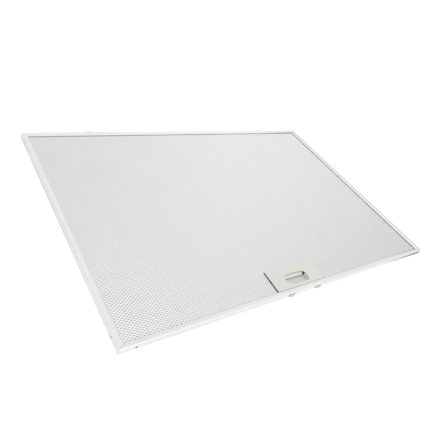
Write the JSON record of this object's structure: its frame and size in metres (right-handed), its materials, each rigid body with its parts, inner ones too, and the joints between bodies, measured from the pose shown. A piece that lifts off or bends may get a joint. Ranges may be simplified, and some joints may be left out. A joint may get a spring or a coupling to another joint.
{
  "type": "cooker hood grease filter",
  "caption": "Flat rectangular aluminium mesh grease filter for a cooker hood, with a folded frame, a recessed sprung slide latch on one edge and stub lugs on the other",
  "frame": {"origin": "on the underside, in the middle between the tips of the tongues and the tips of the lugs", "axes": "+X along the handle edge, -Y towards the handle edge, +Z out of the face that is seen in use"},
  "size_m": [0.48, 0.3276, 0.008],
  "materials": {
    "frame_aluminium": "plain rolled sheet",
    "key_aluminium": "plain sheet",
    "foil_aluminium": "crimped foil",
    "face_mesh_aluminium": "expanded sheet",
    "rear_mesh_aluminium": "expanded sheet",
    "housing_plastic": "moulded, fine matt",
    "slider_plastic": "moulded, fine matt",
    "cover_plastic": "moulded, fine matt",
    "spring_steel": "drawn wire",
    "lug_aluminium": "plain"
  },
  "bodies": {
    "filter": {"frame_front": "frame_aluminium", "frame_back": "frame_aluminium", "frame_left": "frame_aluminium", "frame_right": "frame_aluminium", "corner_key_front_left": "key_aluminium", "corner_key_front_right": "key_aluminium", "corner_key_back_left": "key_aluminium", "corner_key_back_right": "key_aluminium", "face_mesh": "face_mesh_aluminium", "filter_layer_1": "foil_aluminium", "filter_layer_2": "foil_aluminium", "filter_layer_3": "foil_aluminium", "filter_layer_4": "foil_aluminium", "rear_mesh": "rear_mesh_aluminium", "latch_housing": "housing_plastic", "latch_rear_cover": "cover_plastic", "latch_spring_left": "spring_steel", "latch_spring_right": "spring_steel", "rear_lug_left": "lug_aluminium", "rear_lug_right": "lug_aluminium"},
    "latch": {"latch_slider": "slider_plastic"}
  },
  "joints": [
    {"name": "latch_slide", "type": "slide", "parent": "filter", "child": "latch", "axis": [0, 1, 0], "range_m": [0, 0.0034], "stiffness_N_per_m": 600, "springref_m": -0.006, "deforming": ["latch_spring_left", "latch_spring_right"]}
  ]
}
